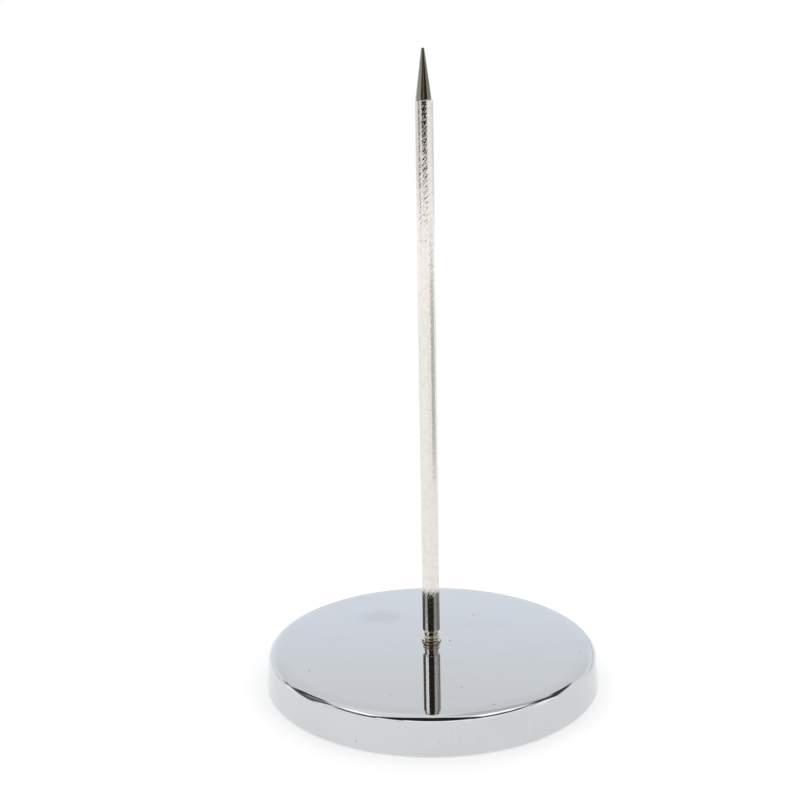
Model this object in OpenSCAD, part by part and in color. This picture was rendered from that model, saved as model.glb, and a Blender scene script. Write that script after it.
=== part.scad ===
// Receipt spike: a pointed steel rod screwed into a weighted round base.
// Millimetres, +Z up, origin on the table under the middle of the base.

/* [Base] */
// Diameter of the base at its lower edge
base_d = 77; // [60:0.5:110]
// How much the wall leans in from its lower edge to the top
wall_lean = 0.8; // [0:0.1:2]
// Height of the shell from its lower edge to its flat top
base_h = 7.9; // [7.5:0.1:14]
// Thickness of the shell's sheet metal
sheet_t = 0.8; // [0.5:0.1:1.2]
// Outer radius of the rim between the top and the wall
rim_r = 1.2; // [0.9:0.1:2.5]

/* [Spike] */
// Diameter of the rod, and of the thread cut on it
rod_d = 4; // [3.5:0.1:5]
// Height of the point above the top of the base
spike_h = 133.5; // [90:0.1:180]
// Length of the ground point
point_len = 11.1; // [6:0.1:20]
// Diameter of the blunt end of the point
tip_d = 0.7; // [0.3:0.1:1]
// Height of the rod's full diameter above the top of the base, as the spike is screwed in
shoulder_gap = 3.0; // [2:0.1:6]
// Length of the conical shoulder above the thread
shoulder_len = 0.6; // [0.4:0.1:1.6]

/* [Thread] */
// Rise of the thread in one turn
thread_pitch = 0.7; // [0.6:0.05:0.8]
// Height of the thread's cut end above the underside of the nut
thread_tail = 0.1; // [0.1:0.1:1]
// Length of the chamfer on the thread's cut end
thread_lead = 0.4; // [0.2:0.1:0.6]
// Length of plain core between the thread's upper end and the shoulder
thread_relief = 0.4; // [0:0.1:0.8]

/* [Ring] */
// Width of the ring's metal, from its bore to its outer edge
ring_w = 0.25; // [0.2:0.05:1]
// Thickness of the ring
ring_t = 0.2; // [0.2:0.05:0.8]

/* [Nut and weight] */
// Width of the nut across its flats
nut_af = 7; // [7:0.1:10]
// Height of the nut
nut_h = 3.2; // [2:0.1:3.6]
// Diameter of the well in the weight that takes the thread's end
well_d = 5.4; // [5.4:0.1:6.4]
// Chamfer round the upper edge of the weight, beyond what the shell's rim takes
ballast_chamfer = 0.6; // [0.5:0.1:1.5]
// Depth of the countersinks at the two ends of the nut's thread
nut_sink = 0.3; // [0.2:0.05:0.6]

/* [Pad] */
// Thickness of the pad
pad_t = 1.8; // [1:0.1:2.4]
// How far the pad stands below the shell's lower edge
pad_proud = 0.4; // [0.2:0.1:0.9]

/* [Fits] */
// Clearance all round between the thread and the hole in the shell
hole_clear = 0.12; // [0.05:0.01:0.2]
// Clearance all round between the thread and the ring
ring_clear = 0.05; // [0.03:0.01:0.1]
// Clearance between the two threads, square to the axis
thread_clear = 0.1; // [0.06:0.01:0.12]
// Clearance between the two threads, along the axis
flank_clear = 0.07; // [0.06:0.01:0.08]
// Clearance all round the nut in its pocket
pocket_clear = 0.1; // [0.05:0.01:0.3]
// Gap between the top of the nut and the shell
nut_gap = 0.1; // [0.05:0.01:0.3]
// Gap between the weight and the shell's wall
ballast_gap = 0.2; // [0.1:0.05:0.6]
// Gap between the pad and the shell's wall
pad_gap = 0.4; // [0.2:0.05:1]

/* [Hidden] */
$fn = 96;

// Heights from the table
shell_bottom = pad_proud;
base_top = shell_bottom + base_h;
sheet_under = base_top - sheet_t;
pocket_floor = sheet_under - nut_gap - nut_h;
nut_top = pocket_floor + nut_h;
rod_start = base_top + shoulder_gap;
thread_top = rod_start - shoulder_len;
thread_end = pocket_floor + thread_tail;
tip_z = base_top + spike_h;
point_start = tip_z - point_len;

// Slope of the base's wall, and the inner radius of its rim, which is never quite sharp
wall_angle = atan(wall_lean / base_h);
sharpest_rim = 0.1;
inner_rim = max(rim_r - sheet_t, sharpest_rim);

// Thread form: a sixty degree ridge with a flat crest
depth_per_pitch = 0.57;
crest_half = thread_pitch / 16;
flank = tan(30);
thread_r = rod_d / 2;
root_r = thread_r - depth_per_pitch * thread_pitch;
bore_r = root_r + thread_clear;
groove_r = thread_r + thread_clear;
// Steps in one turn of the thread
turn_steps = 24;
// Part of a turn over which the thread rises from the core, and how much of it is there at the start
fade_turns = 0.5;
fade_floor = 0.1;
// How far the ridge reaches into the core that carries it
ridge_sink = 0.05;
sunk_r = root_r - ridge_sink;
sunk_half = crest_half + (thread_r - sunk_r) * flank;
ridge_start = thread_end + thread_lead + sunk_half;
// How far cuts run past the faces that they open
cut_over = 0.5;

// Radius of the outer wall at height z
function wall_r(z) = base_d / 2 - (z - shell_bottom) * tan(wall_angle);

// Radius of the inner wall at height z
function inner_wall_r(z) = wall_r(z) - sheet_t / cos(wall_angle);

// Half of the solid outline of a cup whose flat top is at top_z and whose rim has radius r
module cup_outline(inset, top_z, r) {
  rim_z = top_z - r;
  rim_x = wall_r(rim_z) - inset / cos(wall_angle) - r / cos(wall_angle);
  foot_x = wall_r(shell_bottom) - inset / cos(wall_angle);
  polygon([
    [0, shell_bottom],
    [foot_x, shell_bottom],
    [rim_x + r * cos(wall_angle), rim_z + r * sin(wall_angle)],
    [rim_x, top_z],
    [0, top_z]
  ]);
  translate([rim_x, rim_z])
    circle(r);
}

// One screw ridge from z_start up, whose two ends may fade into the core
module screw_ridge(z_start, turns, inner_r, outer_r, inner_half, outer_half, fades) {
  steps = ceil(turns * turn_steps);
  // How much of the ridge is there at step i, from 0 to 1
  function share(i) =
    fades ? max(fade_floor, min(1, min(i, steps - i) / (fade_turns * turn_steps))) : 1;
  function spot(i, r, dz) =
    let (turn = i / turn_steps)
    [r * cos(360 * turn), r * sin(360 * turn), z_start + thread_pitch * turn + dz];
  points = [
    for (i = [0 : steps])
      let (crest_r = inner_r + (outer_r - inner_r) * share(i))
      each [
        spot(i, inner_r, -inner_half),
        spot(i, crest_r, -outer_half),
        spot(i, crest_r, outer_half),
        spot(i, inner_r, inner_half)
      ]
  ];
  sides = [
    for (i = [0 : steps - 1])
      for (j = [0 : 3])
        let (a = 4 * i + j)
        let (b = 4 * i + (j + 1) % 4)
        each [[a, b, a + 4], [b, b + 4, a + 4]]
  ];
  last = 4 * steps;
  ends = [
    [0, 2, 1],
    [0, 3, 2],
    [last, last + 1, last + 2],
    [last, last + 2, last + 3]
  ];
  polyhedron(points, concat(sides, ends));
}

// The thread on the spike
module outer_thread() {
  turns = (thread_top - thread_relief - ridge_start) / thread_pitch;
  screw_ridge(ridge_start, turns, sunk_r, thread_r, sunk_half, crest_half, true);
}

// The groove in the nut, in step with the thread on the spike
module inner_thread() {
  groove_half = crest_half + flank_clear - thread_clear * flank;
  inner_r = bore_r - ridge_sink;
  inner_half = groove_half + (groove_r - inner_r) * flank;
  turns_below = ceil((ridge_start - pocket_floor + cut_over) / thread_pitch);
  turns_above = ceil((nut_top - ridge_start + cut_over) / thread_pitch);
  groove_start = ridge_start - turns_below * thread_pitch;
  groove_turns = turns_below + turns_above;
  screw_ridge(groove_start, groove_turns, inner_r, groove_r, inner_half, groove_half, false);
}

module spike() {
  tip_r = tip_d / 2;
  color("gainsboro") {
    translate([0, 0, rod_start])
      cylinder(d = rod_d, h = point_start - rod_start);
    translate([0, 0, point_start])
      cylinder(d1 = rod_d, d2 = tip_d, h = point_len - tip_r);
    translate([0, 0, tip_z - tip_r])
      sphere(tip_r);
    translate([0, 0, thread_top])
      cylinder(r1 = root_r, d2 = rod_d, h = shoulder_len);
    translate([0, 0, thread_end + thread_lead])
      cylinder(r = root_r, h = thread_top - thread_end - thread_lead);
    translate([0, 0, thread_end])
      cylinder(r1 = root_r - thread_lead / 2, r2 = root_r, h = thread_lead);
    outer_thread();
  }
}

module thread_ring() {
  bore = rod_d / 2 + ring_clear;
  color("darkgray")
    translate([0, 0, base_top])
      difference() {
        cylinder(r = bore + ring_w, h = ring_t);
        translate([0, 0, -cut_over])
          cylinder(r = bore, h = ring_t + 2 * cut_over);
      }
}

module base_shell() {
  hole_r = rod_d / 2 + hole_clear;
  color("silver")
    rotate_extrude()
      difference() {
        cup_outline(0, base_top, rim_r);
        cup_outline(sheet_t, sheet_under, inner_rim);
        translate([0, shell_bottom])
          square([hole_r, base_h + cut_over]);
      }
}

module ballast_disc() {
  edge_cut = ballast_chamfer + inner_rim;
  upper_r = inner_wall_r(sheet_under) - ballast_gap - edge_cut;
  chamfer_z = sheet_under - edge_cut;
  color("dimgray")
    difference() {
      rotate_extrude()
        polygon([
          [0, pad_t],
          [inner_wall_r(pad_t) - ballast_gap, pad_t],
          [inner_wall_r(chamfer_z) - ballast_gap, chamfer_z],
          [upper_r, sheet_under],
          [0, sheet_under]
        ]);
      translate([0, 0, pad_t - cut_over])
        cylinder(d = well_d, h = sheet_under - pad_t + 2 * cut_over);
      translate([0, 0, pocket_floor])
        cylinder(d = (nut_af + 2 * pocket_clear) / cos(30), h = nut_h + nut_gap + cut_over, $fn = 6);
    }
}

module hex_nut() {
  corner_r = nut_af / 2 / cos(30);
  flat_r = nut_af / 2;
  corner_cut = (corner_r - flat_r) * flank;
  color("lightsteelblue")
    translate([0, 0, pocket_floor])
      difference() {
        intersection() {
          cylinder(r = corner_r, h = nut_h, $fn = 6);
          rotate_extrude()
            polygon([
              [0, 0],
              [flat_r, 0],
              [corner_r, corner_cut],
              [corner_r, nut_h - corner_cut],
              [flat_r, nut_h],
              [0, nut_h]
            ]);
        }
        translate([0, 0, -cut_over])
          cylinder(r = bore_r, h = nut_h + 2 * cut_over);
        translate([0, 0, -pocket_floor])
          inner_thread();
        translate([0, 0, nut_h - nut_sink])
          cylinder(r1 = bore_r, r2 = groove_r + cut_over, h = nut_sink + cut_over);
        translate([0, 0, -cut_over])
          cylinder(r1 = groove_r + cut_over, r2 = bore_r, h = nut_sink + cut_over);
      }
}

module foot_pad() {
  color("#303236")
    cylinder(r = inner_wall_r(pad_t) - pad_gap, h = pad_t);
}

spike();
thread_ring();
base_shell();
ballast_disc();
hex_nut();
foot_pad();
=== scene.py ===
"""Finished look of a desk receipt spike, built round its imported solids.

A pointed nickel-plated rod screws into a weighted round base of mirror chrome.
Lengths are in metres in the part's own frame: +Z runs up the spike, the table is at zero.
"""

import math

import bmesh
import bpy
from bpy.props import FloatProperty, FloatVectorProperty, IntProperty, PointerProperty
from bpy.types import Operator, Panel, PropertyGroup
from mathutils import Matrix, Vector


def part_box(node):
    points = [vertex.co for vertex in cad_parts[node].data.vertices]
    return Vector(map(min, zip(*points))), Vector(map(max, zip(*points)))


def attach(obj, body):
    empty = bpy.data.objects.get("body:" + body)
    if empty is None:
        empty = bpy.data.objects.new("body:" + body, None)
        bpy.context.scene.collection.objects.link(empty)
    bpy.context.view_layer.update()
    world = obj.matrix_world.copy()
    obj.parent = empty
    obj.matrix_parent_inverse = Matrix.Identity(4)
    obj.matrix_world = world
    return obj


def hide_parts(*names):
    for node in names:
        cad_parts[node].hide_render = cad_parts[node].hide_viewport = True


bl_info = {
    "name": "Receipt Spike",
    "version": (1, 0, 0),
    "blender": (4, 5, 0),
    "location": "3D View > Sidebar > Receipt Spike",
    "description": "Builds the finished look of a desk receipt spike round its packed solids",
    "category": "Mesh",
}

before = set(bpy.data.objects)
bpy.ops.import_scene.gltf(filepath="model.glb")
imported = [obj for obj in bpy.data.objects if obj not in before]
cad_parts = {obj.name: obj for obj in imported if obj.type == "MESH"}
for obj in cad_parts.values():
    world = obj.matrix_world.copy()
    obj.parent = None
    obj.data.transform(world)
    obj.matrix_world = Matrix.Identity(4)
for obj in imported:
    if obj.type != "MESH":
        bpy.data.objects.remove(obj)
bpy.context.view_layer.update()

SPIKE_LOW, SPIKE_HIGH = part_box("spike")
SHELL_LOW, SHELL_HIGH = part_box("base_shell")
RING_LOW, RING_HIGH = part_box("thread_ring")
PAD_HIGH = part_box("foot_pad")[1]

# Points nearer to the axis than this lie on it
ON_AXIS = 1e-9
# Edges of turned pieces and of the thread that turn by more than this look sharp
SHARP_TURN = math.radians(28)
SHARP_THREAD = math.radians(35)
# Width along the axis that a flank of the thread takes for its depth
FLANK_SLOPE = math.tan(math.radians(30))
# Share of the thread's ridge that is left at its two ends
LEAST_RIDGE = 0.05
# The rim's two curves are a little smaller than their full radius, so that they don't share a point
RIM_SHARE = 0.98
# Share of the ring's width that is flat on top, and faces round the ring
RING_LAND = 0.4
RING_SEGMENTS = 96
# How far the pad's two faces are drawn in, and the height of its widest line as a share of its thickness
PAD_LOWER_DRAW = 0.0001
PAD_UPPER_DRAW = 0.00005
PAD_WIDEST = 0.4

# Middle of the finger mark on the shell, and the colours of dust, rust and zinc bloom
TOUCH_PLACE = (-0.0123, 0.0156, 0.0083)
DUST_COLOUR = (0.12, 0.11, 0.10)
RUST_COLOUR = (0.10, 0.07, 0.055)
BLOOM_COLOUR = (0.60, 0.57, 0.46)

# Specks of dust on the shell: place and radius
DUST = (
    (-0.0273, -0.0153, 0.0083, 0.00035),
    (0.00435, -0.0002, 0.0083, 0.00045),
    (0.0055, -0.0247, 0.0083, 0.0003),
    (0.0115, -0.0327, 0.0083, 0.0003),
    (-0.0095, -0.0277, 0.0083, 0.00025),
    (0.0332, -0.0082, 0.0083, 0.0003),
    (0.0086, 0.0139, 0.0083, 0.0003),
    (0.0110, 0.0158, 0.0083, 0.0004),
    (-0.01644, -0.03464, 0.00197, 0.00023),
    (0.0001, -0.0382, 0.00333, 0.00014),
)

# Patches of the white studio: left, right, low and high edge in degrees, seen from the object with zero
# towards the camera; softness of the upright and of the level edges in degrees; brightness
STUDIO = (
    (-130, -5, -40, -2, 8.0, 1.0, 1.02),
    (-181, 181, -3, 3, 1.0, 1.0, 1.12),
    (-130, -46, 3.5, 12, 2.5, 2.5, 0.72),
    (-88, -56, 3, 12, 2.0, 2.0, 0.6),
    (-76, -65, 2.5, 9.5, 1.0, 1.0, 0.05),
    (100, 165, 2, 12, 4.0, 2.0, 0.8),
    (-88, -46, 12, 40, 1.5, 1.5, 0.44),
    (-88, -44, 22.1, 40, 1.5, 0.7, 1.06),
    (-95, -46, 40, 56, 3.0, 3.0, 0.1),
    (-118, -89, 9, 49, 3.0, 3.0, 0.06),
    (-140, -89, 37, 49, 3.0, 3.0, 0.06),
    (-125, -118, 19.8, 26, 1.5, 1.5, 0.1),
    (38, 80, 12, 42, 3.0, 3.0, 0.34),
    (32, 80, 22.5, 42, 3.0, 1.5, 0.5),
    (38, 80, 42, 54, 3.0, 3.0, 0.3),
    (80, 106, 9, 47, 3.0, 3.0, 0.21),
    (80, 106, 22.5, 28, 2.0, 1.5, 0.36),
    (80, 106, 28, 47, 2.0, 2.0, 0.08),
    (80, 137, 37, 47, 2.0, 2.0, 0.08),
    (106, 125, 19.8, 27, 1.5, 1.5, 0.2),
    (106, 125, 22.5, 29, 1.5, 1.5, 0.34),
    (-44, 35, 12, 62, 2.5, 2.5, 0.02),
    (-50, 38, 12, 22.5, 2.5, 1.5, 0.02),
    (-38, 29, 4.5, 13, 10.0, 1.2, 0.0),
    (105, 168, 50, 78, 6.0, 4.0, 0.62),
    (45, 100, -13, -1, 3.0, 3.0, 0.56),
)

# Patches with the same seven values, which show only where the studio is mirrored once, as in the base
MIRRORED_ONCE = (
    (-91, 83, 13, 50, 3.0, 2.0, 1.0),
    (83, 130, 8, 34, 3.0, 2.0, 0.95),
    (-45, 45, 13, 51, 6.0, 2.0, 1.2),
    (-50, 46, 52, 86, 2.5, 2.0, 0.02),
    (-50, -25, 47, 60, 2.5, 2.0, 0.02),
    (-85, -45, 41, 49, 2.0, 2.0, 0.05),
    (30, 74, 48, 58, 2.0, 2.0, 0.05),
    (-95, -56, 52, 62, 2.0, 2.0, 1.6),
    (52, 95, 61, 71, 2.0, 2.0, 1.6),
    (76, 106, 57, 66, 2.0, 2.0, 1.6),
    (66, 90, 49, 57, 2.0, 2.0, 0.05),
    (-155, -127, 33, 53, 3.0, 3.0, 0.84),
    (-118, -92, 8, 23, 3.0, 3.0, 1.2),
    (-119, -93, 23, 35, 3.0, 2.0, 0.13),
    (-119, -104, 35, 52, 2.0, 2.0, 0.28),
    (-104, -93, 33, 50, 2.0, 2.0, 0.15),
    (-131, -119, 41, 52, 2.0, 2.0, 0.03),
    (-123, -113, 32, 40, 2.0, 2.0, 0.03),
    (80, 98, 30, 45, 3.0, 2.0, 1.2),
    (98, 124, 46, 55, 3.0, 2.0, 0.06),
    (101, 139, 37, 46, 2.0, 2.0, 0.06),
)

# Patches that show only where the studio is mirrored twice or more, as in the foot of the rod
MIRRORED_TWICE = (
    (-165, -118, 19.5, 30, 3.0, 1.5, 0.1),
    (106, 165, 19.5, 30, 3.0, 1.5, 0.26),
)

# Ray depth in the surroundings that tells one reflection from more
ONE_REFLECTION = 2.5
# Colour of the light straight ahead of the camera, behind the object
BACK_LIGHT = (0.95, 0.995, 1.06)
WHITE = (1.0, 1.0, 1.0)

# Floor: radius, how far it lies under the object, and how much it glows for the camera
FLOOR_RADIUS = 0.2
FLOOR_SEGMENTS = 96
FLOOR_DROP = 0.00002
FLOOR_GLOW = 0.37

# Camera: width of its sensor in millimetres and its nearest visible distance
SENSOR_WIDTH = 36.0
NEAREST = 0.01

# Band of cards round the tip: radius, lower and upper edge, steps in a card, and how far off mirrors see it
BAND_RADIUS = 0.05
BAND_EDGES = (0.143, 0.175)
CARD_STEPS = 8
CARD_REACH = 0.09
# The cards, which only mirrors see: left and right edge in degrees, brightness, colour
NEUTRAL = (1.0, 1.0, 1.0, 1.0)
RUSSET = (1.0, 0.68, 0.58, 1.0)
TIP_CARDS = (
    (-112, -89, 0.4, NEUTRAL),
    (-89, -42, 0.6, NEUTRAL),
    (-42, -14, 0.06, NEUTRAL),
    (-14, 14, 0.22, RUSSET),
    (14, 57, 0.025, NEUTRAL),
    (57, 88, 0.42, NEUTRAL),
    (88, 112, 0.42, NEUTRAL),
    (112, 150, 0.3, NEUTRAL),
)


# Sizes and colours that a user may change


def length(name, description, default):
    """One length in metres for the sidebar."""
    return FloatProperty(
        name=name,
        description=description,
        default=default,
        min=0.0,
        precision=5,
        unit="LENGTH",
        subtype="DISTANCE",
    )


def angle(name, description, degrees):
    """One angle for the sidebar."""
    return FloatProperty(name=name, description=description, default=math.radians(degrees), subtype="ANGLE")


def tint(name, description, default):
    """One linear colour for the sidebar."""
    return FloatVectorProperty(
        name=name, description=description, default=default, size=3, min=0.0, max=1.0, subtype="COLOR"
    )


class SpikeSizes(PropertyGroup):
    """Sizes of the pointed rod and of the thread on its foot."""

    rod_radius: length("Rod Radius", "Radius of the plain rod and of the thread's crest", SPIKE_HIGH.x)
    end_height: length("Thread End", "Height of the thread's cut end above the table", SPIKE_LOW.z)
    tip_height: length("Tip Height", "Height of the point above the table", SPIKE_HIGH.z)
    point_length: length("Point Length", "Length of the ground point", 0.0111)
    tip_radius: length("Tip Radius", "Radius of the blunt end of the point", 0.00033)
    point_slant: length("Point Slant", "How far the point's lower border rises to one side", 0.0002)
    point_step: length("Point Step", "How far the ground point lies inside the plated rod", 0.0002)
    point_offset: length("Point Offset", "How far the ground point lies beside the rod's axis", 0.00013)
    shoulder_height: length("Shoulder Height", "Height of the full rod above the base", 0.0030)
    shoulder_length: length("Shoulder Length", "Length of the cone between rod and thread", 0.0006)
    edge_round: length("Edge Rounding", "Rounding of the turned edges", 0.00009)
    lead_length: length("Lead Length", "Length of the chamfer on the thread's cut end", 0.0004)
    segments: IntProperty(name="Segments", description="Faces round the rod", default=128, min=16)


class ThreadSizes(PropertyGroup):
    """Sizes of the screw ridge."""

    pitch: length("Pitch", "Rise of the thread in one turn", 0.0007)
    depth: length("Depth", "Height of the ridge over the core", 0.000399)
    crest_width: length("Crest Width", "Width of the flat crest", 0.0000875)
    root_sink: length("Root Sink", "How far the ridge reaches into the core", 0.00005)
    crest_round: length("Crest Rounding", "Rounding of the ridge's two crest edges", 0.00004)
    relief: length("Relief", "Length of plain core between the ridge's upper end and the shoulder", 0.0004)
    fade_turns: FloatProperty(
        name="Fade", description="Part of a turn over which each end fades", default=0.5, min=0.05
    )
    turn_steps: IntProperty(name="Steps", description="Steps in one turn of the thread", default=96, min=12)


class BaseSizes(PropertyGroup):
    """Sizes of the chrome shell, of the ring on it and of the pad under it."""

    radius: length("Base Radius", "Radius of the shell's lower edge", SHELL_HIGH.x)
    bottom: length("Lower Edge", "Height of the shell's lower edge above the table", SHELL_LOW.z)
    top: length("Top", "Height of the shell's flat top above the table", SHELL_HIGH.z)
    wall_lean: length("Wall Lean", "How much the wall leans in from its lower edge to the top", 0.0008)
    rim_radius: length("Rim Radius", "Radius of the rim's wide curve, next to the top", 0.00225)
    rim_edge: length("Rim Edge", "Radius of the rim's tight curve, next to the wall", 0.0004)
    rim_turn: angle("Rim Turn", "Slope at which the two curves meet", 52.5)
    inner_round: length("Inner Rounding", "Radius inside the rim", 0.0004)
    crown_round: length("Crown Rounding", "Radius where the top begins to fall off", 0.03)
    crown: length("Crown", "How far the top falls off towards the rim", 0.00012)
    crown_width: length("Crown Width", "Width of the band that falls off", 0.0026)
    sheet: length("Sheet", "Thickness of the sheet metal", 0.0008)
    hole_radius: length("Hole Radius", "Radius of the hole for the thread", 0.00212)
    hole_round: length("Hole Rounding", "Rounding of the hole's upper edge", 0.00006)
    lower_round: length("Lower Rounding", "Rounding of the shell's lower edge, outside", 0.00025)
    lower_inner: length("Lower Inner Rounding", "Rounding of the shell's lower edge, inside", 0.00028)
    ring_bore: length("Ring Bore", "Bore radius of the ring", 0.00205)
    ring_radius: length("Ring Radius", "Outer radius of the ring", RING_HIGH.x)
    ring_round: length("Ring Rounding", "Rounding of the ring's edges", 0.00004)
    ring_bevel: length("Ring Bevel", "Height of the bevel that falls to the ring's outer edge", 0.00012)
    pad_radius: length("Pad Radius", "Radius of the soft pad", PAD_HIGH.x)
    pad_thickness: length("Pad Thickness", "Thickness of the soft pad", PAD_HIGH.z)
    pad_round: length("Pad Rounding", "Rounding of the pad's edges", 0.00045)
    segments: IntProperty(name="Segments", description="Faces round the base", default=256, min=32)


class Finishes(PropertyGroup):
    """Colours of the plated, ground, cast and soft surfaces."""

    chrome: tint("Chrome", "Mirror chrome of the shell", (0.660, 0.677, 0.693))
    nickel: tint("Nickel", "Bright nickel on the rod", (0.84, 0.80, 0.745))
    thread: tint("Thread", "Thinly plated steel of the thread", (0.80, 0.73, 0.62))
    ground_steel: tint("Ground Steel", "Bare ground steel of the point", (0.47, 0.47, 0.385))
    # The ring's dark colour is partly tarnish and partly painted shade of the gap round the thread
    ring: tint("Ring", "Steel of the ring", (0.34, 0.28, 0.22))
    iron: tint("Cast Iron", "Cast iron of the weight", (0.075, 0.076, 0.08))
    zinc: tint("Zinc", "Zinc plate of the nut", (0.58, 0.61, 0.66))
    pad: tint("Pad", "Soft pad under the base", (0.022, 0.023, 0.026))


class Stage(PropertyGroup):
    """Camera, floor and surroundings."""

    camera_at: FloatVectorProperty(
        name="Camera",
        description="Place of the camera",
        default=(-0.00634, -0.21832, 0.09999),
        subtype="TRANSLATION",
    )
    camera_down: angle("Tilt", "Camera tilt below the level", 8.932)
    camera_roll: angle("Roll", "Camera roll", -1.054)
    lens: FloatProperty(name="Lens", description="Focal length in millimetres", default=44.06, min=1.0)
    floor: tint("Floor", "Colour of the plain floor", (0.93, 0.93, 0.93))


# Shapes


def rounded(points, radii, steps):
    """A line of (radius, height) points with its corners rounded by arcs."""
    smooth = []
    for i, here in enumerate(points):
        r = radii.get(i, 0.0)
        if r == 0.0:
            smooth.append(tuple(here))
            continue
        here = Vector(here)
        back = (Vector(points[i - 1]) - here).normalized()
        ahead = (Vector(points[(i + 1) % len(points)]) - here).normalized()
        half = back.angle(ahead) / 2
        middle = here + (back + ahead).normalized() * (r / math.sin(half))
        first = here + back * (r / math.tan(half)) - middle
        last = here + ahead * (r / math.tan(half)) - middle
        sweep = first.angle_signed(last)
        for k in range(steps + 1):
            turn = Matrix.Rotation(-sweep * k / steps, 2)
            smooth.append(tuple(middle + turn @ first))
    return smooth


def held(profile, closed=False, near=0.0002):
    """The line with a point near each end of its long straight runs, so that these look straight."""
    long = 6 * near
    steady = []
    for a, b in zip(profile, profile[1:] + (profile[:1] if closed else [])):
        a, b = Vector(a), Vector(b)
        run = (b - a).length
        steady.append(tuple(a))
        if run > long:
            steady.append(tuple(a.lerp(b, near / run)))
            steady.append(tuple(a.lerp(b, 1 - near / run)))
    return steady if closed else steady + [profile[-1]]


def lathe(name, profile, segments, closed=False, shift=None):
    """A turned piece from a line of (radius, height) points, with a UV map round it and along it."""
    form = bmesh.new()
    uv = form.loops.layers.uv.new("UVMap")
    along = [0.0]
    for a, b in zip(profile, profile[1:] + profile[:1]):
        along.append(along[-1] + math.dist(a, b))
    rings = []
    for r, z in profile:
        if r < ON_AXIS:
            aside = shift(z, 0.0, 0.0)[0] if shift else 0.0
            rings.append([form.verts.new((aside, 0.0, z))])
            continue
        ring = []
        for k in range(segments):
            turn = 2 * math.pi * k / segments + math.pi / 2
            aside, lift = shift(z, r, math.cos(turn)) if shift else (0.0, 0.0)
            ring.append(form.verts.new((r * math.cos(turn) + aside, r * math.sin(turn), z + lift)))
        rings.append(ring)
    last = len(rings) if closed else len(rings) - 1
    for i in range(last):
        low, high = rings[i], rings[(i + 1) % len(rings)]
        for k in range(segments):
            corners = [(low, k, i), (low, k + 1, i), (high, k + 1, i + 1), (high, k, i + 1)]
            if len(low) == 1:
                corners = [corners[0], corners[2], corners[3]]
            if len(high) == 1:
                corners = corners[:3]
            face = form.faces.new([ring[j % len(ring)] for ring, j, _ in corners])
            face.smooth = True
            for loop, (_, j, row) in zip(face.loops, corners):
                loop[uv].uv = (j / segments, along[row])
    bmesh.ops.recalc_face_normals(form, faces=form.faces)
    mesh = bpy.data.meshes.new(name)
    form.to_mesh(mesh)
    form.free()
    mesh.set_sharp_from_angle(angle=SHARP_TURN)
    piece = bpy.data.objects.new(name, mesh)
    bpy.context.scene.collection.objects.link(piece)
    return piece


# Node helpers


def put(tree, kind, inputs=None, **settings):
    """Adds a node; an input is a value, or the output of another node."""
    made = tree.nodes.new(kind)
    for key, value in settings.items():
        setattr(made, key, value)
    for key, value in (inputs or {}).items():
        socket = made.inputs[key]
        if isinstance(value, bpy.types.NodeSocket):
            tree.links.new(value, socket)
        else:
            socket.default_value = value
    return made


def maths(tree, operation, a, b=0.0):
    """The result of one Math node."""
    return put(tree, "ShaderNodeMath", {0: a, 1: b}, operation=operation).outputs[0]


def ramp(tree, value, low, high, to_low=0.0, to_high=1.0):
    """A smooth step of value from low to high."""
    inputs = {"Value": value, "From Min": low, "From Max": high, "To Min": to_low, "To Max": to_high}
    return put(tree, "ShaderNodeMapRange", inputs, interpolation_type="SMOOTHSTEP").outputs["Result"]


def noise(tree, vector, scale, detail=2.0, roughness=0.5, distortion=0.0):
    """The factor of one Noise Texture."""
    inputs = {"Vector": vector, "Scale": scale, "Detail": detail, "Roughness": roughness}
    return put(tree, "ShaderNodeTexNoise", {**inputs, "Distortion": distortion}).outputs["Fac"]


def stretched(tree, vector, scale, turn=(0.0, 0.0, 0.0)):
    """A vector scaled and turned by a Mapping node."""
    inputs = {"Vector": vector, "Scale": scale, "Rotation": turn}
    return put(tree, "ShaderNodeMapping", inputs).outputs["Vector"]


def part(tree, vector, axis):
    """One of the three parts of a vector."""
    return put(tree, "ShaderNodeSeparateXYZ", {0: vector}).outputs[axis]


def shade(tree, colour, factor, other):
    """A colour that moves towards another one as the factor grows; the first may be a node's output."""
    first = colour if isinstance(colour, bpy.types.NodeSocket) else (*colour, 1.0)
    inputs = {"Factor": factor, "A": first, "B": (*other, 1.0)}
    return put(tree, "ShaderNodeMix", inputs, data_type="RGBA").outputs["Result"]


def new_material(name, metallic):
    """A material with its shader, its node tree and its Object coordinates."""
    material = bpy.data.materials.new(name)
    material.use_nodes = True
    tree = material.node_tree
    shader = tree.nodes["Principled BSDF"]
    shader.inputs["Metallic"].default_value = metallic
    place = put(tree, "ShaderNodeTexCoord").outputs
    return material, tree, shader, place


def bump(tree, shader, height, strength, distance):
    """Lets a height pattern tilt the surface."""
    made = put(tree, "ShaderNodeBump", {"Height": height, "Strength": strength, "Distance": distance})
    tree.links.new(made.outputs["Normal"], shader.inputs["Normal"])


def roughened(tree, shader, pattern, spread, least):
    """Lets a pattern roughen the surface, from the least value up."""
    rough = maths(tree, "ADD", maths(tree, "MULTIPLY", pattern, spread), least)
    tree.links.new(rough, shader.inputs["Roughness"])


def worn(tree, shader, pattern, colours, wear, rough, relief):
    """Lets one pattern change a surface.

    colours are the clean and the worn one, wear is where wearing begins and is full, rough is the spread
    and the least roughness, and relief is the strength and the depth of the bumps.
    """
    clean, spoilt = colours
    tree.links.new(shade(tree, clean, ramp(tree, pattern, *wear), spoilt), shader.inputs["Base Color"])
    roughened(tree, shader, pattern, *rough)
    bump(tree, shader, pattern, *relief)


def darker(colour, share):
    """A colour at a share of its brightness."""
    return tuple(share * c for c in colour)


# Finishes


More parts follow.
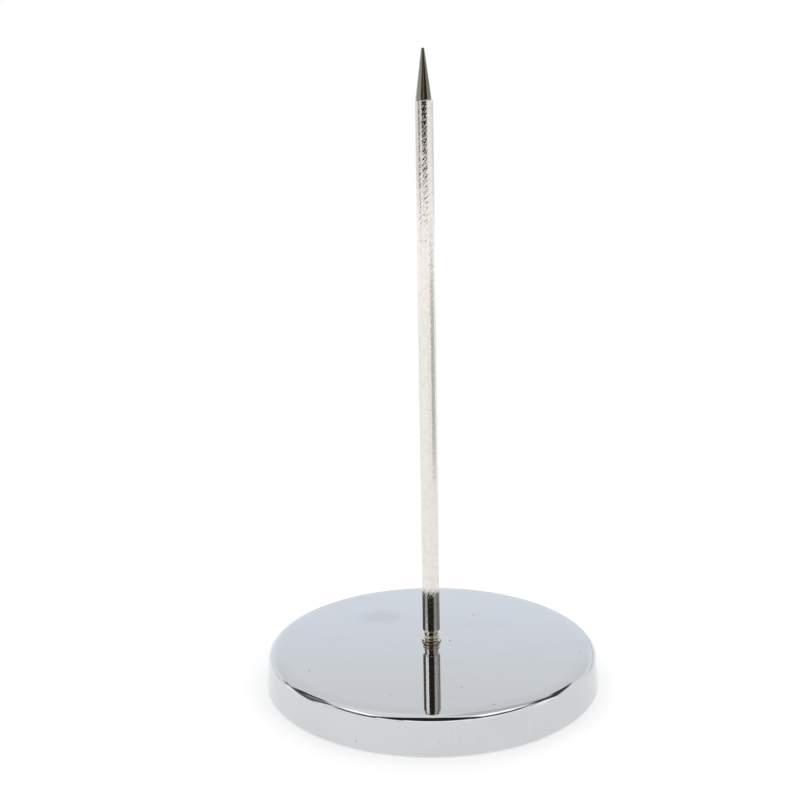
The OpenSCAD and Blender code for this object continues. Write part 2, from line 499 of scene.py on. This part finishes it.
def mirror_chrome(colours):
    """Chrome plate: a mirror with faint smears, polishing marks on the wall and a few specks of dust."""
    material, tree, shader, place = new_material("mirror_chrome", metallic=1.0)
    here = place["Object"]
    # Soft smears all over
    cloud = stretched(tree, here, (38, 90, 38))
    cloud = noise(tree, cloud, scale=1.0, detail=3.0, roughness=0.55, distortion=0.6)
    smear = maths(tree, "MULTIPLY", ramp(tree, cloud, 0.5, 0.78), 0.3)
    # A finger mark on the top
    touch = put(tree, "ShaderNodeVectorMath", {0: here, 1: TOUCH_PLACE}, operation="SUBTRACT")
    touch = stretched(tree, touch.outputs["Vector"], (140, 190, 140))
    touch = put(tree, "ShaderNodeVectorMath", {0: touch}, operation="LENGTH").outputs["Value"]
    ragged = maths(tree, "ADD", touch, noise(tree, here, scale=380.0))
    touch = ramp(tree, ragged, 0.7, 1.6, 0.75, 0.0)
    # Polishing marks on the wall
    wall = ramp(tree, part(tree, here, "Z"), 0.0062, 0.0072, 1.0, 0.0)
    lines = stretched(tree, place["UV"], (700, 240, 1), turn=(0.0, 0.0, 0.002))
    lines = noise(tree, lines, scale=1.0, detail=3.0, roughness=0.6, distortion=0.8)
    patchy = ramp(tree, noise(tree, here, scale=60.0, detail=1.0), 0.46, 0.6)
    scuff = maths(tree, "MULTIPLY", ramp(tree, lines, 0.4, 0.65), patchy)
    scuff = maths(tree, "MULTIPLY", scuff, wall)
    marks = maths(tree, "MAXIMUM", smear, maths(tree, "MULTIPLY", scuff, 0.25))
    marks = maths(tree, "MAXIMUM", marks, touch)
    colour = shade(tree, colours.chrome, marks, darker(colours.chrome, 0.86))
    # Specks of dust
    dust = 0.0
    for x, y, z, r in DUST:
        away = put(tree, "ShaderNodeVectorMath", {0: here, 1: (x, y, z)}, operation="DISTANCE")
        speck = ramp(tree, away.outputs["Value"], 0.3 * r, r, 1.0, 0.0)
        dust = maths(tree, "MAXIMUM", dust, speck)
    colour = shade(tree, colour, maths(tree, "MULTIPLY", dust, 0.65), DUST_COLOUR)
    tree.links.new(colour, shader.inputs["Base Color"])
    rough = maths(tree, "ADD", maths(tree, "MULTIPLY", marks, 0.06), maths(tree, "MULTIPLY", scuff, 0.08))
    roughened(tree, shader, rough, spread=1.0, least=0.025)
    waves = noise(tree, here, scale=55.0, detail=1.0, roughness=0.4)
    skin = maths(tree, "ADD", waves, maths(tree, "MULTIPLY", scuff, 0.05))
    bump(tree, shader, skin, strength=0.25, distance=0.00006)
    return material


def leaning(tree, vector, height, rate):
    """Coordinates turned about the axis as they rise, so that marks stretched along them lean."""
    inputs = {"Vector": vector, "Angle": maths(tree, "MULTIPLY", height, rate)}
    return put(tree, "ShaderNodeVectorRotate", inputs, rotation_type="Z_AXIS").outputs["Vector"]


def bright_nickel(colours):
    """Nickel over drawn steel: bright, with a fine pebbled skin and short slanting marks."""
    material, tree, shader, place = new_material("bright_nickel", metallic=1.0)
    height = part(tree, place["Object"], "Z")
    slanted = leaning(tree, place["Object"], height, rate=-200.0)
    pebbles = noise(tree, stretched(tree, slanted, (1, 1, 0.4)), scale=2500.0, distortion=0.3)
    grain = noise(tree, stretched(tree, slanted, (1, 1, 0.3)), scale=5200.0, detail=1.0)
    ticks = ramp(tree, grain, 0.68, 0.78)
    blotch = ramp(tree, noise(tree, place["Object"], scale=900.0), 0.35, 0.75)
    colour = shade(tree, colours.nickel, blotch, darker(colours.nickel, 0.93))
    colour = shade(tree, colour, maths(tree, "MULTIPLY", ticks, 0.3), darker(colours.nickel, 0.35))
    tree.links.new(colour, shader.inputs["Base Color"])
    roughened(tree, shader, pebbles, spread=0.07, least=0.04)
    upper = ramp(tree, height, 0.012, 0.11, 0.3, 1.0)
    skin = maths(tree, "SUBTRACT", pebbles, maths(tree, "MULTIPLY", ticks, 0.25))
    bump(tree, shader, maths(tree, "MULTIPLY", skin, upper), strength=1.0, distance=0.00004)
    return material


def ground_steel(colours):
    """Bare steel ground to a point: grey, with fine lines that run to the tip."""
    material, tree, shader, place = new_material("ground_steel", metallic=1.0)
    lines = stretched(tree, place["UV"], (60, 160, 1))
    lines = noise(tree, lines, scale=1.0, detail=3.0, roughness=0.6)
    pair = colours.ground_steel, darker(colours.ground_steel, 0.8)
    worn(tree, shader, lines, pair, wear=(0.35, 0.75), rough=(0.1, 0.07), relief=(0.3, 0.00003))
    return material


def thread_steel(colours):
    """Thinly plated steel of the thread, warm and a little dark between the turns."""
    material, tree, shader, place = new_material("thread_steel", metallic=1.0)
    stain = noise(tree, place["Object"], scale=1700.0, roughness=0.55)
    pair = colours.thread, darker(colours.thread, 0.75)
    worn(tree, shader, stain, pair, wear=(0.4, 0.7), rough=(0.1, 0.06), relief=(0.3, 0.00003))
    return material


def satin_ring_painted_shade(colours):
    """Steel of the small ring, satin and tarnished; its dark colour is partly painted shade of the gap round
    the thread.
    """
    material, tree, shader, place = new_material("satin_ring_painted_shade", metallic=1.0)
    stain = noise(tree, place["Object"], scale=1400.0, roughness=0.55)
    # The dark ring colour stands partly for painted shade in the gap round the thread
    pair = colours.ring, darker(colours.ring, 0.7)
    worn(tree, shader, stain, pair, wear=(0.4, 0.7), rough=(0.15, 0.1), relief=(0.2, 0.00003))
    return material


def cast_iron(colours):
    """Rough cast iron of the weight."""
    material, tree, shader, place = new_material("cast_iron", metallic=0.75)
    grain = noise(tree, place["Object"], scale=900.0, detail=4.0, roughness=0.65)
    rust = ramp(tree, noise(tree, place["Object"], scale=110.0, detail=3.0, roughness=0.6), 0.55, 0.75)
    colour = shade(tree, colours.iron, grain, darker(colours.iron, 0.6))
    tree.links.new(shade(tree, colour, rust, RUST_COLOUR), shader.inputs["Base Color"])
    roughened(tree, shader, grain, spread=0.3, least=0.45)
    bump(tree, shader, grain, strength=0.6, distance=0.0002)
    return material


def zinc_plate(colours):
    """Zinc plate of the nut, with a faint bloom."""
    material, tree, shader, place = new_material("zinc_plate", metallic=1.0)
    bloom = noise(tree, place["Object"], scale=700.0, detail=3.0, roughness=0.6)
    pair = colours.zinc, BLOOM_COLOUR
    worn(tree, shader, bloom, pair, wear=(0.4, 0.7), rough=(0.2, 0.2), relief=(0.15, 0.00005))
    return material


def soft_pad(colours):
    """Matt foam of the pad, with its fine open cells, lighter on their raised walls and darker in their
    hollows as painted shade.
    """
    material, tree, shader, place = new_material("soft_pad", metallic=0.0)
    inputs = {"Vector": place["Object"], "Scale": 2600.0}
    cells = put(tree, "ShaderNodeTexVoronoi", inputs, feature="DISTANCE_TO_EDGE").outputs["Distance"]
    wall = ramp(tree, cells, 0.02, 0.22, 1.0, 0.0)
    uneven = noise(tree, place["Object"], scale=300.0, detail=3.0, roughness=0.6)
    # Painted shade: lighter on the raised cell walls and darker in the hollows, with random unevenness on
    # top
    tone = maths(tree, "ADD", maths(tree, "MULTIPLY", wall, 0.5), maths(tree, "MULTIPLY", uneven, 0.5))
    colour = shade(tree, darker(colours.pad, 0.7), tone, darker(colours.pad, 1.7))
    tree.links.new(colour, shader.inputs["Base Color"])
    roughened(tree, shader, wall, spread=0.1, least=0.85)
    shader.inputs["Specular IOR Level"].default_value = 0.3
    bump(tree, shader, wall, strength=0.6, distance=0.00012)
    return material


def floor_white(colour):
    """Plain white floor that keeps the object's shadow and fades to even white further out."""
    material, tree, shader, place = new_material("floor_white", metallic=0.0)
    shader.inputs["Base Color"].default_value = (*colour, 1.0)
    shader.inputs["Roughness"].default_value = 0.9
    shader.inputs["Specular IOR Level"].default_value = 0.0
    rays = put(tree, "ShaderNodeLightPath").outputs
    seen, mirrored = rays["Is Camera Ray"], rays["Is Glossy Ray"]
    away = put(tree, "ShaderNodeVectorMath", {0: place["Object"]}, operation="LENGTH").outputs["Value"]
    glow = put(tree, "ShaderNodeEmission", {"Strength": maths(tree, "MULTIPLY", seen, FLOOR_GLOW)})
    near = put(tree, "ShaderNodeAddShader", {0: shader.outputs[0], 1: glow.outputs[0]})
    far = put(tree, "ShaderNodeEmission", {"Strength": 1.0})
    # The camera sees even white further out
    faded = maths(tree, "MULTIPLY", ramp(tree, away, 0.06, 0.14), seen)
    # Mirrors see a floor that is brighter outward and to the left
    outward = ramp(tree, away, 0.038, 0.09, 0.86, 0.95)
    leftward = ramp(tree, part(tree, place["Object"], "X"), -0.05, 0.03, 0.08, 0.0)
    clear = maths(tree, "MULTIPLY", maths(tree, "ADD", outward, leftward), mirrored)
    share = maths(tree, "MAXIMUM", faded, clear)
    mix = put(tree, "ShaderNodeMixShader", {0: share, 1: near.outputs[0], 2: far.outputs[0]})
    tree.links.new(mix.outputs[0], tree.nodes["Material Output"].inputs["Surface"])
    return material


# The thread's ridge


def ridge_tree(material):
    """Geometry Nodes that sweep a rounded ridge up a right-hand screw line."""
    tree = bpy.data.node_groups.new("thread_ridge", "GeometryNodeTree")
    lengths = ("Pitch", "Start Height", "Core Radius", "Depth", "Crest Width", "Root Sink", "Crest Rounding")
    for name in ("Turns", *lengths, "Fade"):
        tree.interface.new_socket(name, in_out="INPUT", socket_type="NodeSocketFloat")
    tree.interface.new_socket("Steps", in_out="INPUT", socket_type="NodeSocketInt")
    tree.interface.new_socket("Ridge", in_out="OUTPUT", socket_type="NodeSocketGeometry")
    given = put(tree, "NodeGroupInput").outputs
    height = maths(tree, "MULTIPLY", given["Turns"], given["Pitch"])
    line = put(
        tree,
        "GeometryNodeCurveSpiral",
        {
            "Resolution": given["Steps"],
            "Rotations": given["Turns"],
            "Start Radius": given["Core Radius"],
            "End Radius": given["Core Radius"],
            "Height": height,
            "Reverse": True,
        },
    )
    line = put(tree, "GeometryNodeSetCurveNormal", {"Curve": line.outputs[0]}, mode="Z_UP")
    top, sunk = given["Depth"], maths(tree, "MULTIPLY", given["Root Sink"], -1.0)
    crest = maths(tree, "MULTIPLY", given["Crest Width"], 0.5)
    flank = maths(tree, "MULTIPLY", maths(tree, "ADD", top, given["Root Sink"]), FLANK_SLOPE)
    foot = maths(tree, "ADD", crest, flank)
    corners = []
    for r, z, side in ((sunk, foot, -1.0), (top, crest, -1.0), (top, crest, 1.0), (sunk, foot, 1.0)):
        spot = {"X": r, "Y": maths(tree, "MULTIPLY", z, side)}
        corners.append(put(tree, "ShaderNodeCombineXYZ", spot).outputs[0])
    section = put(
        tree,
        "GeometryNodeCurvePrimitiveQuadrilateral",
        {f"Point {i + 1}": corner for i, corner in enumerate(corners)},
        mode="POINTS",
    )
    section = put(
        tree,
        "GeometryNodeFilletCurve",
        {"Curve": section.outputs[0], "Count": 3, "Radius": given["Crest Rounding"], "Limit Radius": True},
        mode="POLY",
    )
    share = put(tree, "GeometryNodeSplineParameter").outputs["Factor"]
    along = maths(tree, "MULTIPLY", share, given["Turns"])
    left = maths(tree, "SUBTRACT", given["Turns"], along)
    scale = maths(tree, "DIVIDE", maths(tree, "MINIMUM", along, left), given["Fade"])
    scale = ramp(tree, scale, 0.0, 1.0, LEAST_RIDGE, 1.0)
    swept = put(
        tree,
        "GeometryNodeCurveToMesh",
        {"Curve": line.outputs[0], "Profile Curve": section.outputs[0], "Scale": scale, "Fill Caps": True},
    )
    lift = put(tree, "ShaderNodeCombineXYZ", {"Z": given["Start Height"]}).outputs[0]
    lifted = put(tree, "GeometryNodeTransform", {"Geometry": swept.outputs[0], "Translation": lift})
    real = put(tree, "GeometryNodeRealizeInstances", {"Geometry": lifted.outputs[0]})
    dressed = put(tree, "GeometryNodeSetMaterial", {"Geometry": real.outputs[0], "Material": material})
    put(tree, "NodeGroupOutput", {"Ridge": dressed.outputs[0]})
    return tree


def ridge_mesh(tree, values):
    """The plain mesh that the ridge's nodes make with these values."""
    carrier = bpy.data.objects.new("ridge_carrier", bpy.data.meshes.new("ridge_carrier"))
    bpy.context.scene.collection.objects.link(carrier)
    modifier = carrier.modifiers.new("Ridge", "NODES")
    modifier.node_group = tree
    for item in tree.interface.items_tree:
        if item.in_out == "INPUT":
            modifier[item.identifier] = values[item.name]
    ready = carrier.evaluated_get(bpy.context.evaluated_depsgraph_get())
    mesh = bpy.data.meshes.new_from_object(ready)
    carrier.modifiers.remove(modifier)
    bpy.data.objects.remove(carrier)
    return mesh


# Operators


class RECEIPTSPIKE_OT_spike(Operator):
    """Turns the pointed rod, with its ground point, its shoulder and the thread on its foot."""

    bl_idname = "receiptspike.spike"
    bl_label = "Make Spike"

    def execute(self, context):
        """Makes the spike and puts it in place of its solid."""
        size, thread = context.scene.spike_sizes, context.scene.thread_sizes
        base, colours = context.scene.base_sizes, context.scene.finishes
        core = size.rod_radius - thread.depth
        rod_start = base.top + size.shoulder_height
        core_top = rod_start - size.shoulder_length
        border = size.tip_height - size.point_length
        edge, tip_edge = size.edge_round, 0.2 * size.tip_radius
        line = [
            (0.0, size.end_height),
            (core - size.lead_length / 2, size.end_height),
            (core, size.end_height + size.lead_length),
            (core, core_top),
            (size.rod_radius, rod_start),
            (size.rod_radius, border),
            (size.rod_radius - size.point_step, border + 0.2 * size.point_step),
            (size.tip_radius, size.tip_height - tip_edge),
            (0.0, size.tip_height),
        ]
        profile = held(rounded(line, {3: edge, 4: 2 * edge, 5: edge, 7: tip_edge}, steps=5))
        # The plate ends just inside the rod's skin, and the ground steel begins just under that
        plate_end = size.rod_radius - 0.9 * size.point_step
        steel_start = size.rod_radius - 0.95 * size.point_step

        def ground(z, r, side):
            """The ground point lies a little beside the axis, and its lower border is not quite level."""
            if z < border - 2 * edge:
                return 0.0, 0.0
            tilt = size.point_slant * side * r / size.rod_radius
            return (0.0, tilt) if r > plate_end else (-size.point_offset, tilt)

        spike = lathe("spike_rod", profile, size.segments, shift=ground)
        for finish in (bright_nickel(colours), ground_steel(colours), thread_steel(colours)):
            spike.data.materials.append(finish)
        for face in spike.data.polygons:
            corners = [spike.data.vertices[i].co for i in face.vertices]
            nearest = min(math.hypot(v.x + size.point_offset, v.y) for v in corners)
            if face.center.z < core_top + edge:
                face.material_index = 2
            elif nearest < steel_start and face.center.z > border:
                face.material_index = 1
        start = size.end_height + size.lead_length + thread.crest_width / 2
        start += (thread.depth + thread.root_sink) * FLANK_SLOPE
        ridge = ridge_mesh(
            ridge_tree(spike.data.materials[2]),
            {
                "Turns": (core_top - thread.relief - start) / thread.pitch,
                "Pitch": thread.pitch,
                "Start Height": start,
                "Core Radius": core,
                "Depth": thread.depth,
                "Crest Width": thread.crest_width,
                "Root Sink": thread.root_sink,
                "Crest Rounding": thread.crest_round,
                "Fade": thread.fade_turns,
                "Steps": thread.turn_steps,
            },
        )
        form = bmesh.new()
        form.from_mesh(ridge)
        bmesh.ops.recalc_face_normals(form, faces=form.faces)
        for face in form.faces:
            face.smooth = True
            face.material_index = 2
        form.to_mesh(ridge)
        form.clear()
        form.from_mesh(spike.data)
        form.from_mesh(ridge)
        form.to_mesh(spike.data)
        form.free()
        bpy.data.meshes.remove(ridge)
        spike.data.set_sharp_from_angle(angle=SHARP_THREAD)
        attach(spike, "spike")
        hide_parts("spike")
        return {"FINISHED"}


class RECEIPTSPIKE_OT_ring(Operator):
    """Turns the fine ring that lies round the thread on the base."""

    bl_idname = "receiptspike.ring"
    bl_label = "Make Ring"

    def execute(self, context):
        """Makes the ring and puts it in place of its solid."""
        size = context.scene.base_sizes
        low, high = RING_LOW.z, RING_HIGH.z
        outer_high = high - size.ring_bevel
        inner_land = size.ring_bore + RING_LAND * (size.ring_radius - size.ring_bore)
        line = [
            (size.ring_bore, low),
            (size.ring_radius, low),
            (size.ring_radius, outer_high),
            (inner_land, high),
            (size.ring_bore, high),
        ]
        profile = rounded(line, {i: size.ring_round for i in (2, 3, 4)}, steps=5)
        ring = lathe("thread_ring_wire", profile, RING_SEGMENTS, closed=True)
        ring.data.materials.append(satin_ring_painted_shade(context.scene.finishes))
        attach(ring, "ring")
        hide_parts("thread_ring")
        return {"FINISHED"}


class RECEIPTSPIKE_OT_shell(Operator):
    """Spins the chrome shell of the base: flat top, rounded rim, leaning wall and hole."""

    bl_idname = "receiptspike.shell"
    bl_label = "Make Shell"

    def execute(self, context):
        """Makes the shell and puts it in place of its solid."""
        size = context.scene.base_sizes
        lean = math.atan(size.wall_lean / (size.top - size.bottom))
        upper = size.radius - size.wall_lean
        inner = size.sheet / math.cos(lean)
        under = size.top - size.sheet
        steep = math.pi / 2 - lean - size.rim_turn
        run = size.rim_radius * math.tan(size.rim_turn / 2) + size.rim_edge * math.tan(steep / 2)
        across, down = run * math.cos(size.rim_turn), run * math.sin(size.rim_turn)
        rim_in, rim_top = upper - across + down * math.tan(lean), size.top - size.crown
        line = [
            (size.radius, size.bottom),
            (rim_in + across, rim_top - down),
            (rim_in, rim_top),
            (upper - size.crown_width, size.top),
            (size.hole_radius, size.top),
            (size.hole_radius, under),
            (upper + size.sheet * math.tan(lean) - inner, under),
            (size.radius - inner, size.bottom),
        ]
        radii = {
            0: size.lower_round,
            1: RIM_SHARE * size.rim_edge,
            2: RIM_SHARE * size.rim_radius,
            3: size.crown_round,
            4: size.hole_round,
            6: size.inner_round,
            7: size.lower_inner,
        }
        profile = held(rounded(line, radii, steps=14), closed=True)
        shell = lathe("base_shell_plate", profile, size.segments, closed=True)
        shell.data.materials.append(mirror_chrome(context.scene.finishes))
        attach(shell, "base")
        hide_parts("base_shell")
        return {"FINISHED"}


class RECEIPTSPIKE_OT_inner_parts(Operator):
    """Gives the iron weight and the nut inside the base their finishes."""

    bl_idname = "receiptspike.inner_parts"
    bl_label = "Finish Weight and Nut"

    def execute(self, context):
        """Puts the finishes on the two solids that stay."""
        colours = context.scene.finishes
        for name, finish in (("ballast_disc", cast_iron(colours)), ("hex_nut", zinc_plate(colours))):
            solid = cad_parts[name]
            solid.data.materials.clear()
            solid.data.materials.append(finish)
        return {"FINISHED"}


class RECEIPTSPIKE_OT_pad(Operator):
    """Makes the soft pad under the base, with its pressed and rounded edge."""

    bl_idname = "receiptspike.pad"
    bl_label = "Make Pad"

    def execute(self, context):
        """Makes the pad and puts it in place of its solid."""
        size = context.scene.base_sizes
        line = [
            (0.0, 0.0),
            (size.pad_radius - PAD_LOWER_DRAW, 0.0),
            (size.pad_radius, PAD_WIDEST * size.pad_thickness),
            (size.pad_radius - PAD_UPPER_DRAW, size.pad_thickness),
            (0.0, size.pad_thickness),
        ]
        radii = {1: size.pad_round, 2: size.pad_round, 3: 0.5 * size.pad_round}
        profile = rounded(line, radii, steps=6)
        pad = lathe("foot_pad_foam", profile, size.segments)
        pad.data.materials.append(soft_pad(context.scene.finishes))
        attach(pad, "base")
        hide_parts("foot_pad")
        return {"FINISHED"}


class RECEIPTSPIKE_OT_stage(Operator):
    """Sets the white floor, the studio surroundings and the camera."""

    bl_idname = "receiptspike.stage"
    bl_label = "Set Stage"

    def execute(self, context):
        """Builds the stage."""
        stage = context.scene.stage
        self.floor(context, stage)
        self.tip_cards(context)
        self.surroundings(context)
        self.camera(context, stage)
        context.scene.view_settings.view_transform = "Standard"
        return {"FINISHED"}

    def floor(self, context, stage):
        """A wide round floor at table height."""
        form = bmesh.new()
        bmesh.ops.create_circle(form, cap_ends=True, segments=FLOOR_SEGMENTS, radius=FLOOR_RADIUS)
        bmesh.ops.translate(form, verts=form.verts, vec=(0.0, 0.0, -FLOOR_DROP))
        mesh = bpy.data.meshes.new("floor")
        form.to_mesh(mesh)
        form.free()
        floor = bpy.data.objects.new("floor", mesh)
        context.scene.collection.objects.link(floor)
        mesh.materials.append(floor_white(stage.floor))

    def tip_cards(self, context):
        """A band of light and dark cards round the tip, for the ground point to mirror."""
        form = bmesh.new()
        mesh = bpy.data.meshes.new("tip_cards")
        for index, (left, right, tone, colour) in enumerate(TIP_CARDS):
            mesh.materials.append(self.card(colour, tone))
            rows = []
            for k in range(CARD_STEPS + 1):
                turn = math.radians(left + (right - left) * k / CARD_STEPS)
                x, y = BAND_RADIUS * math.sin(turn), -BAND_RADIUS * math.cos(turn)
                rows.append([form.verts.new((x, y, z)) for z in BAND_EDGES])
            for (a, b), (c, d) in zip(rows, rows[1:]):
                form.faces.new((a, b, d, c)).material_index = index
        form.to_mesh(mesh)
        form.free()
        band = bpy.data.objects.new("tip_cards", mesh)
        context.scene.collection.objects.link(band)
        band.visible_camera = band.visible_diffuse = False
        band.visible_shadow = band.visible_transmission = False

    def card(self, colour, tone):
        """A glowing card that is clear to mirrors further off."""
        card = bpy.data.materials.new("tip_card")
        card.use_nodes = True
        tree = card.node_tree
        glow = put(tree, "ShaderNodeEmission", {"Color": colour, "Strength": tone})
        clear = put(tree, "ShaderNodeBsdfTransparent")
        away = put(tree, "ShaderNodeLightPath").outputs["Ray Length"]
        near = maths(tree, "LESS_THAN", away, CARD_REACH)
        mix = put(tree, "ShaderNodeMixShader", {0: near, 1: clear.outputs[0], 2: glow.outputs[0]})
        tree.links.new(mix.outputs[0], tree.nodes["Material Output"].inputs["Surface"])
        return card

    def surroundings(self, context):
        """A white studio with a darker front, dark gaps at the sides and a soft light on each side."""
        world = bpy.data.worlds.new("studio")
        context.scene.world = world
        world.use_nodes = True
        tree = world.node_tree
        tree.nodes.clear()
        way = put(tree, "ShaderNodeTexCoord").outputs["Generated"]
        up = maths(tree, "DEGREES", maths(tree, "ARCSINE", part(tree, way, "Z")))
        ahead = maths(tree, "MULTIPLY", part(tree, way, "Y"), -1.0)
        about = maths(tree, "DEGREES", maths(tree, "ARCTAN2", part(tree, way, "X"), ahead))

        def between(value, low, high, soft):
            """How far a direction lies between two soft edges."""
            rise = ramp(tree, value, low - soft, low + soft)
            fall = ramp(tree, value, high - soft, high + soft, 1.0, 0.0)
            return maths(tree, "MULTIPLY", rise, fall)

        # Bright at the level, a little darker further up and brighter again overhead
        level = maths(tree, "ADD", ramp(tree, up, 18, 29, 0.955, 0.82), ramp(tree, up, 45, 62, 0.0, 0.11))
        rays = put(tree, "ShaderNodeLightPath").outputs
        once = maths(tree, "LESS_THAN", rays["Ray Depth"], ONE_REFLECTION)
        more = maths(tree, "SUBTRACT", 1.0, once)
        for patches, shows in ((STUDIO, 1.0), (MIRRORED_ONCE, once), (MIRRORED_TWICE, more)):
            for left, right, low, high, side_soft, level_soft, tone in patches:
                wide = between(about, left, right, side_soft)
                tall = between(up, low, high, level_soft)
                share = maths(tree, "MULTIPLY", maths(tree, "MULTIPLY", wide, tall), shows)
                mix = put(tree, "ShaderNodeMix", {"Factor": share, "A": level, "B": tone})
                level = mix.outputs["Result"]
        # The light behind the object is cooler than the rest
        aside = ramp(tree, maths(tree, "ABSOLUTE", about), 118, 135)
        behind = maths(tree, "MULTIPLY", aside, ramp(tree, up, 19, 28, 1.0, 0.25))
        colour = shade(tree, WHITE, behind, BACK_LIGHT)
        lit = put(tree, "ShaderNodeBackground", {"Color": colour, "Strength": level}).outputs[0]
        white = put(tree, "ShaderNodeBackground", {"Color": (*WHITE, 1.0), "Strength": 1.0}).outputs[0]
        mix = put(tree, "ShaderNodeMixShader", {0: rays["Is Camera Ray"], 1: lit, 2: white})
        put(tree, "ShaderNodeOutputWorld", {"Surface": mix.outputs[0]})

    def camera(self, context, stage):
        """The camera at the photograph's viewing angle."""
        lens = bpy.data.cameras.new("camera")
        lens.sensor_width = SENSOR_WIDTH
        lens.lens = stage.lens
        lens.clip_start = NEAREST
        camera = bpy.data.objects.new("camera", lens)
        context.scene.collection.objects.link(camera)
        tilt = Matrix.Rotation(math.pi / 2 - stage.camera_down, 4, "X")
        roll = Matrix.Rotation(stage.camera_roll, 4, "Z")
        camera.matrix_world = Matrix.Translation(stage.camera_at) @ tilt @ roll
        context.scene.camera = camera


class RECEIPTSPIKE_PT_panel(Panel):
    """Sidebar panel with the pieces of the receipt spike."""

    bl_idname = "RECEIPTSPIKE_PT_panel"
    bl_label = "Receipt Spike"
    bl_space_type = "VIEW_3D"
    bl_region_type = "UI"
    bl_category = "Receipt Spike"

    def draw(self, context):
        """Lists the operators, and the sizes and colours that they read."""
        for operator in OPERATORS:
            self.layout.operator(operator.bl_idname)
        for name in GROUPS:
            box = self.layout.box()
            group = getattr(context.scene, name)
            for key in group.__annotations__:
                box.prop(group, key)


GROUPS = {
    "spike_sizes": SpikeSizes,
    "thread_sizes": ThreadSizes,
    "base_sizes": BaseSizes,
    "finishes": Finishes,
    "stage": Stage,
}
OPERATORS = (
    RECEIPTSPIKE_OT_stage,
    RECEIPTSPIKE_OT_shell,
    RECEIPTSPIKE_OT_ring,
    RECEIPTSPIKE_OT_spike,
    RECEIPTSPIKE_OT_inner_parts,
    RECEIPTSPIKE_OT_pad,
)


def register():
    """Adds the classes and the scene's settings."""
    for cls in (*GROUPS.values(), *OPERATORS, RECEIPTSPIKE_PT_panel):
        bpy.utils.register_class(cls)
    for name, group in GROUPS.items():
        setattr(bpy.types.Scene, name, PointerProperty(type=group))


def unregister():
    """Takes the classes and the settings away again."""
    for name in GROUPS:
        delattr(bpy.types.Scene, name)
    for cls in (RECEIPTSPIKE_PT_panel, *reversed(OPERATORS), *GROUPS.values()):
        bpy.utils.unregister_class(cls)


def main():
    """Builds every piece."""
    register()
    bpy.ops.receiptspike.stage()
    bpy.ops.receiptspike.shell()
    bpy.ops.receiptspike.ring()
    bpy.ops.receiptspike.spike()
    bpy.ops.receiptspike.inner_parts()
    bpy.ops.receiptspike.pad()


if __name__ == "__main__":
    main()
